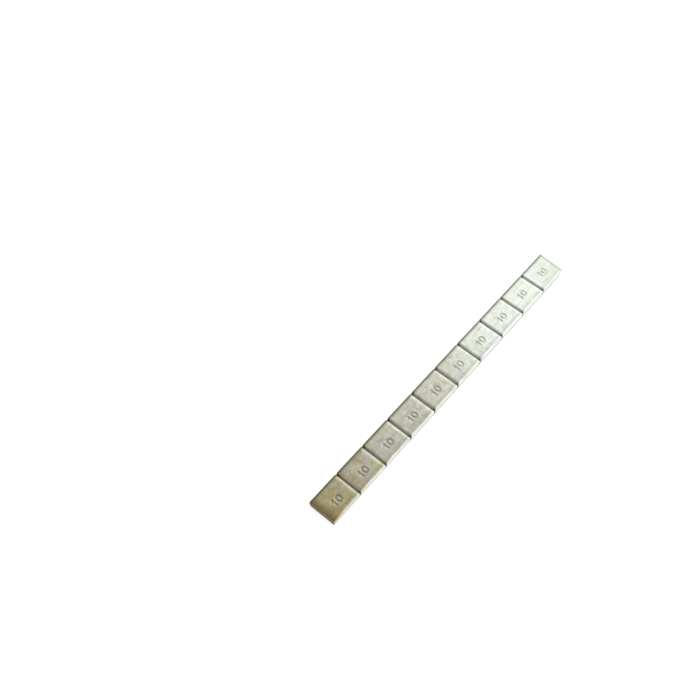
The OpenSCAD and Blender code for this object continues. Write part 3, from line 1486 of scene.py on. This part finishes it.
    def _fit_to_outline(self, x: Array, y: Array) -> tuple[Array, Array]:
        """Moves the points nearest the number's outline onto it, so that its walls are clean.

        A point within reach of the outline, or of the foot of the wall inside it, moves there
        along the steepest way, which is its distance from that line times the distance's slope.

        Args:
            x: Place of each point along the strip.
            y: Place of each point across the strip.

        Returns:
            The moved places.
        """
        tiny, reach = 1e-4, self.snap * self.mesh_step
        away = self._outline(x, y)
        slope_x = (self._outline(x + tiny, y) - self._outline(x - tiny, y)) / (2 * tiny)
        slope_y = (self._outline(x, y + tiny) - self._outline(x, y - tiny)) / (2 * tiny)
        shift = np.zeros_like(away)
        for line in (0.0, -self.stamp_wall):
            shift = np.where(np.abs(away - line) < reach, away - line, shift)
        return x - shift * slope_x, y - shift * slope_y

    def _top_height(self, x: Array, y: Array) -> Array:
        """Height of the strip's upper side.

        The falls of the side's shoulder, of the notch and of the rolled end are each raised to the
        mitre's power and added up, and the same root of that is the depth below the top face. This
        softens the mitres where they cross. In a notch the side's lip rolls over its edge too. The
        stamped number, its burr, the dish and the unevenness of the metal are added to that.

        Args:
            x: Place of each point along the strip.
            y: Place of each point across the strip.

        Returns:
            The heights.
        """
        inward = self.block.half_width - np.abs(y)
        across, along = self.side.fall(inward), self.notch.fall(self._from_notch(x))
        from_end = np.minimum(x - self.block.low[0], self.block.high[0] - x)
        off_roll = np.clip(self.end_roll - from_end, 0, self.end_roll)
        rolled = self.end_roll - np.sqrt(self.end_roll**2 - off_roll**2)
        power = self.mitre_power
        fall = (across**power + along**power + rolled**power) ** (1 / power)
        off_lip = np.clip(self.side.lip - inward, 0, None)
        roll = self.side.lip - np.sqrt(self.side.lip**2 - off_lip**2)
        fall = fall + roll * smooth_step(along, *self.notch_roll)
        away = self._outline(x, y)
        stamped = self.stamp_depth * smooth_fall(away, -self.stamp_wall, 0.0)
        raised = self.burr * self.clearance * np.exp(-((away / self.burr_width) ** 2)) * (away > 0)
        dish = self.hollow * (1 - (self._segment_place(x) / (self.pitch / 2)) ** self.dish_power)
        dish = dish * (1 - (y / self.block.half_width) ** self.dish_power)
        slow, fine = self.waves
        waves = slow.at(x, y) + fine.at(x, y * self.fine_across)
        top = self.block.high[2] - self.clearance
        level = smooth_fall(fall, *self.level)
        return top - fall + level * (raised + waves - stamped - dish)

    def _wall(self, start: Array, side: float) -> Array:
        """One side wall, from the lip down and round the long edge on the underside.

        The wall falls straight from its lip. The edge is a quarter of a circle.

        Args:
            start: The lip's points, as (ring, 3).
            side: 1 for the left wall and -1 for the right.

        Returns:
            Points as (ring, place, 3), without the lip's own.
        """
        low = self.block.low[2]
        shares = between(0, 1, self.wall_steps)
        turn = np.linspace(0, np.pi / 2, self.edge_steps + 1)
        height = start[:, 2:] + (low + self.edge - start[:, 2:]) * shares
        out = np.broadcast_to(start[:, 1:2], height.shape)
        edge_height = low + self.edge * (1 - np.sin(turn))
        edge_out = start[:, 1:2] - side * self.edge * (1 - np.cos(turn))
        y = np.concatenate([out, edge_out], axis=1)
        z = np.concatenate([height, np.broadcast_to(edge_height, edge_out.shape)], axis=1)
        x = np.broadcast_to(start[:, :1], y.shape)
        below_lip = z < start[:, 2:] - self.bulge_clear
        bulge = self.bulge.at(x, z * self.bulge_up + side * self.bulge_apart) - self.bulge.height
        return np.stack([x, y + side * bulge * below_lip, z], axis=-1)

    def _marks(self, rings: Array, top_places: int) -> dict[Mark, Array]:
        """Says of each point how much grime and painted shade darken it, how much wear and painted
        highlights brighten it, and how freshly sheared it is.

        Args:
            rings: Points as (ring, place, 3).
            top_places: How many places of a ring lie on the upper side.

        Returns:
            Values between 0 and 1, as (ring, place).
        """
        x, y, z = np.moveaxis(rings, -1, 0)
        low, high, half = self.block.low[0], self.block.high[0], self.block.half_width
        off, brow = self._from_notch(x), self.notch.brow
        away = self._outline(x, y)
        inward = half - np.abs(y)
        at = Whereabouts(
            share=(x - low) / self.block.length,
            from_near=x - low,
            to_far=high - x,
            from_left=half - y,
            inward=inward,
            past_shoulder=inward - self.side.run,
            on_right=y < 0,
            height=z / self.web,
            from_notch=off / brow,
            past_brow=off - brow,
            past_notch=self._segment_place(x) < 0,
            away=away,
            nearing=away - self._outline(x + self.grime_wear_and_painted_light.step, y),
        )
        upper = np.arange(rings.shape[1]) < top_places
        patches = self.grime_wear_and_painted_light.patchy.at(x, y)
        return {
            Mark.DIRT_AND_SHADE: self.grime_wear_and_painted_light.dirt_and_shade(at, upper),
            Mark.RUBBED_AND_LIT: self.grime_wear_and_painted_light.rubbed_and_lit(at, upper, patches),
            Mark.SHEARED: np.zeros_like(x),
        }

    def _close_ends(
        self, rings: Array, marks: dict[Mark, Array]
    ) -> tuple[Array, dict[Mark, Array]]:
        """Rolls the sheared ends over slightly and gives their faces an inner ring.

        Each ring near an end draws in towards the middle of the section by the amount that a
        small quarter circle gives, and the last two rings lie in the end's own plane. The far end
        is done as the near one is, with the rings in turned order.

        Args:
            rings: Points as (ring, place, 3).
            marks: Values for each point.

        Returns:
            The rings and marks with the end rings added.
        """
        turn = np.linspace(0, np.pi / 2, self.end_steps + 1)[:-1]
        depths = np.append(0.0, self.end_ease * (1 - np.cos(turn)))
        insets = self.end_ease * (1 - np.sin(turn))
        insets = np.append(self.end_ease + self.end_inset, insets)
        for order in (1, -1):
            rings = rings[::order]
            end = rings[0]
            keep = (rings[:, 0, 0] - end[0, 0]) * order > self.end_ease
            added = [self._end_ring(end, order * d, i) for d, i in zip(depths, insets)]
            rings = np.concatenate([np.stack(added), rings[keep]])[::order]
            for mark, value in zip(Mark, self.end_marks):
                new = np.full((len(added), len(end)), value)
                marks[mark] = np.concatenate([new, marks[mark][::order][keep]])[::order]
        return rings, marks

    def _end_ring(self, end: Array, shift: float, inset: float) -> Array:
        """One ring of an end: its section drawn in towards its middle and shifted.

        Args:
            end: Points of the section, as (place, 3).
            shift: How far it moves along the strip.
            inset: How far its outermost points move in, across and up.

        Returns:
            The ring's points, as (place, 3).
        """
        middle = (end[:, 2].max() + end[:, 2].min()) / 2
        half_height = (end[:, 2].max() - end[:, 2].min()) / 2
        ring = end.copy()
        ring[:, 0] += shift
        ring[:, 1] *= 1 - inset / self.block.half_width
        ring[:, 2] = middle + (ring[:, 2] - middle) * (1 - inset / half_height)
        return ring


@dataclass(frozen=True)
class FoamTape:
    """The foam tape: slit straight, its open edges slightly rough and swollen.

    Attributes:
        block: The CAD node's box.
        step: Distance between rings.
        swell: How far an edge is drawn in at its top and bottom, against its middle.
        pits: The open cells in its edges.
        edge_places: Number of points up an edge.
        flat_places: Number of points across the top, and across the bottom.
        pits_up: How much quicker the cells change up an edge than along it.
        pits_across: How much quicker they change across the tape than along it.
        cuts: The cuts at the two ends.
    """

    block: Block
    step: float = 0.25
    swell: float = 0.05
    pits: Ripple = Ripple(0.03, 0.7, 11, waves=30)
    edge_places: int = 9
    flat_places: int = 6
    pits_up: float = 1.3
    pits_across: float = 3.0
    cuts: ShearCuts = ShearCuts()

    def build(self) -> bpy.types.Object:
        """Builds the tape. Each edge is a parabola that stands out most at half its height.

        Returns:
            The piece.
        """
        half, low, high = self.block.half_width, self.block.low[2], self.block.high[2]
        count = int(round(self.block.length / self.step)) + 1
        x = np.linspace(self.block.low[0], self.block.high[0], count)
        rise = np.linspace(-1, 1, self.edge_places)
        edge_out = half - self.swell * rise**2
        edge_height = low + (high - low) * (rise + 1) / 2
        flat = between(-1, 1, self.flat_places + 1) * (half - self.swell)
        y = np.concatenate([-edge_out, flat, edge_out[::-1], flat[::-1]])
        top, bottom = np.full_like(flat, high), np.full_like(flat, low)
        z = np.concatenate([edge_height, top, edge_height[::-1], bottom])
        on_edge = np.tile(np.repeat([1.0, 0.0], [self.edge_places, self.flat_places]), 2)
        x, y, z = x[:, None], y[None, :], z[None, :]
        pits = self.pits.at(x, z * self.pits_up + y * self.pits_across)
        depth = self.pits.height + pits
        y = y * (1 - on_edge * depth / half)
        rings = np.stack(np.broadcast_arrays(x, y, z), axis=-1)
        rings[..., 0] = self.cuts.along(rings, self.block)
        return make_piece("foam_tape_edges", rings)


@dataclass(frozen=True)
class ReleaseLiner:
    """The release liner: thin paper that keeps a slight wave from the roll.

    Attributes:
        block: The CAD node's box.
        wave: The wave in its outer face.
        rings: Number of rings along it.
        places: Number of points across each face.
        cuts: The cuts at the two ends.
    """

    block: Block
    wave: Ripple = Ripple(0.012, 11.0, 21)
    rings: int = 361
    places: int = 25
    cuts: ShearCuts = ShearCuts()

    def build(self) -> bpy.types.Object:
        """Builds the liner. Its outer face is the lowest plane plus a slow wave.

        Returns:
            The piece.
        """
        half, low, high = self.block.half_width, self.block.low[2], self.block.high[2]
        x = np.linspace(self.block.low[0], self.block.high[0], self.rings)
        flat = np.linspace(-half, half, self.places)
        y = np.concatenate([flat, flat[::-1]])
        upper = np.repeat([True, False], self.places)
        x, y, upper = x[:, None], y[None, :], upper[None, :]
        lift = self.wave.height + self.wave.at(x, y)
        z = np.where(upper, high, low + lift)
        rings = np.stack(np.broadcast_arrays(x, y, z), axis=-1)
        rings[..., 0] = self.cuts.along(rings, self.block)
        return make_piece("release_paper_sheet", rings)


def stage_sheet(name: str, corners: Sequence[Sequence[float]]) -> tuple[bpy.types.Object, Graph]:
    """Sets one flat face beside the part, with an empty material, as part of the stage.

    Args:
        name: Name of the sheet and its material.
        corners: Its four corners in metres.

    Returns:
        The sheet and the graph that fills its material.
    """
    mesh = bpy.data.meshes.new(name)
    mesh.from_pydata(corners, [], [(0, 1, 2, 3)])
    sheet = bpy.data.objects.new(name, mesh)
    bpy.context.scene.collection.objects.link(sheet)
    material, graph = new_material(name)
    mesh.materials.append(material)
    return sheet, graph


@dataclass(frozen=True)
class Card:
    """A flat card that only reflections see, as a photographer sets beside bright metal.

    Attributes:
        name: Name of the card.
        corner: One corner, in metres.
        first: One side as seen from that corner.
        second: The other side as seen from that corner.
        colour: Colour that it shows.
    """

    name: str
    corner: tuple[float, float, float]
    first: tuple[float, float, float]
    second: tuple[float, float, float]
    colour: Colour

    def build(self) -> None:
        """Sets up the card."""
        corner, first, second = map(np.array, (self.corner, self.first, self.second))
        corners = [corner, corner + first, corner + first + second, corner + second]
        card, graph = stage_sheet(self.name, [point.tolist() for point in corners])
        graph.finish(graph.add("ShaderNodeEmission", {"Color": (*self.colour, 1.0)}))
        card.visible_camera = card.visible_diffuse = card.visible_shadow = False


@dataclass(frozen=True)
class Studio:
    """A pale floor in white surroundings, one large soft lamp, a card, and the camera.

    Attributes:
        floor_side: Side of the square floor, in metres.
        floor_colour: Colour of the floor.
        floor_lift: Light that the camera and reflections see in the floor besides its own.
        floor_drop: How far the floor lies below the part, in metres.
        floor_roughness: Roughness of the floor.
        fill: Colour of the even light from all round.
        card: The card over the near end that the metal reflects.
        lamp_place: Middle of the lamp, in metres.
        lamp_size: Sides of the lamp, in metres.
        lamp_power: Power of the lamp, in watts.
        lamp_colour: Colour of the lamp.
        camera_place: The camera, in millimetres in the part's frame.
        camera_turn: Its turns about X, Y and Z, in degrees.
        focal_pixels: Its focal length, in pixels of the photograph.
        photo_side: Side of the square photograph, in pixels.
        sensor: Width of the camera's sensor, in millimetres.
        clip_start: Distance from the camera where its view starts, in metres.
    """

    floor_side: float = 8.0
    floor_colour: Colour = (0.86, 0.86, 0.86)
    floor_lift: float = 0.62
    floor_drop: float = 0.01 * MM
    floor_roughness: float = 0.9
    fill: Colour = (0.62, 0.62, 0.60)
    card: Card = Card("top_card", (-0.6, -0.45, 0.43), (0.71, 0, 0), (0, 1.1, 0), (0.50, 0.49, 0.43))
    lamp_place: tuple[float, float, float] = (0.52, -0.12, 0.48)
    lamp_size: tuple[float, float] = (0.70, 1.0)
    lamp_power: float = 1.75
    lamp_colour: Colour = (0.93, 1.0, 1.0)
    camera_place: tuple[float, float, float] = (-207.2, -99.56, 389.56)
    camera_turn: tuple[float, float, float] = (31.526, -1.721, -49.960)
    focal_pixels: float = 943.8
    photo_side: int = 700
    sensor: float = 36.0
    clip_start: float = 0.01

    def build(self) -> None:
        """Sets the floor, the light and the camera."""
        self._floor()
        self._fill_light()
        self._lamp()
        self.card.build()
        self._camera()
        bpy.context.scene.view_settings.view_transform = "Standard"

    def _floor(self) -> None:
        """A pale floor that looks white to the camera and in reflections but keeps shadows."""
        half, height = self.floor_side / 2, -self.floor_drop
        corners = [(-half, -half), (half, -half), (half, half), (-half, half)]
        _, graph = stage_sheet("floor", [(x, y, height) for x, y in corners])
        graph.finish(
            graph.surface(
                base_color=(*self.floor_colour, 1.0),
                roughness=self.floor_roughness,
                specular_ior_level=0.0,
                emission_color=(1.0, 1.0, 1.0, 1.0),
                emission_strength=graph.product(graph.seen(), self.floor_lift),
            )
        )

    def _fill_light(self) -> None:
        """Even light from all round, which looks white to the camera and in reflections."""
        world = bpy.data.worlds.new("surroundings")
        world.use_nodes = True
        world.node_tree.nodes.clear()
        graph = Graph(world.node_tree)
        colour = graph.mix(graph.seen(), self.fill, (1.0, 1.0, 1.0))
        light = graph.add("ShaderNodeBackground", {"Color": colour, "Strength": 1.0})
        graph.add("ShaderNodeOutputWorld", {"Surface": light.outputs[0]})
        bpy.context.scene.world = world

    def _lamp(self) -> None:
        """One large soft lamp that faces the strip."""
        light = bpy.data.lights.new("soft_lamp", "AREA")
        light.shape = "RECTANGLE"
        light.size, light.size_y = self.lamp_size
        light.energy = self.lamp_power
        light.color = self.lamp_colour
        lamp = bpy.data.objects.new("soft_lamp", light)
        x, y, z = self.lamp_place
        lamp.location = self.lamp_place
        tilt, heading = np.arctan2(np.hypot(x, y), z), np.arctan2(y, x)
        lamp.rotation_euler = Euler((0.0, float(tilt), float(heading)), "XYZ")
        lamp.visible_camera = False
        bpy.context.scene.collection.objects.link(lamp)

    def _camera(self) -> None:
        """The camera at the photograph's place, turn and focal length."""
        data = bpy.data.cameras.new("camera")
        data.sensor_width = self.sensor
        data.lens = data.sensor_width * self.focal_pixels / self.photo_side
        data.clip_start = self.clip_start
        camera = bpy.data.objects.new("camera", data)
        camera.location = [value * MM for value in self.camera_place]
        camera.rotation_euler = Euler(np.radians(self.camera_turn).tolist(), "XYZ")
        bpy.context.scene.collection.objects.link(camera)
        bpy.context.scene.camera = camera


@dataclass
class BalanceWeight:
    """The whole part: each piece with the finish that it takes and the node it stands for.

    Attributes:
        lead: Finish of the strip.
        foam: Finish of the tape.
        paper: Finish of the liner.
    """

    lead: LeadFinish = field(default_factory=LeadFinish)
    foam: FoamFinish = field(default_factory=FoamFinish)
    paper: LinerFinish = field(default_factory=LinerFinish)

    def build(self) -> None:
        """Builds and dresses the pieces from the metal down."""
        for slot, node, piece, finish in (
            (Slot.LEAD, "weight_strip", WeightStrip, self.lead),
            (Slot.FOAM, "foam_tape", FoamTape, self.foam),
            (Slot.LINER, "release_liner", ReleaseLiner, self.paper),
        ):
            dress(piece(Block.of_node(node)).build(), finish.material(), node)


def main() -> None:
    """Sets the studio and builds the part."""
    logging.basicConfig(level=logging.INFO, format="%(name)s: %(message)s")
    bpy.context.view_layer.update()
    Studio().build()
    BalanceWeight().build()


if __name__ == "__main__":
    main()
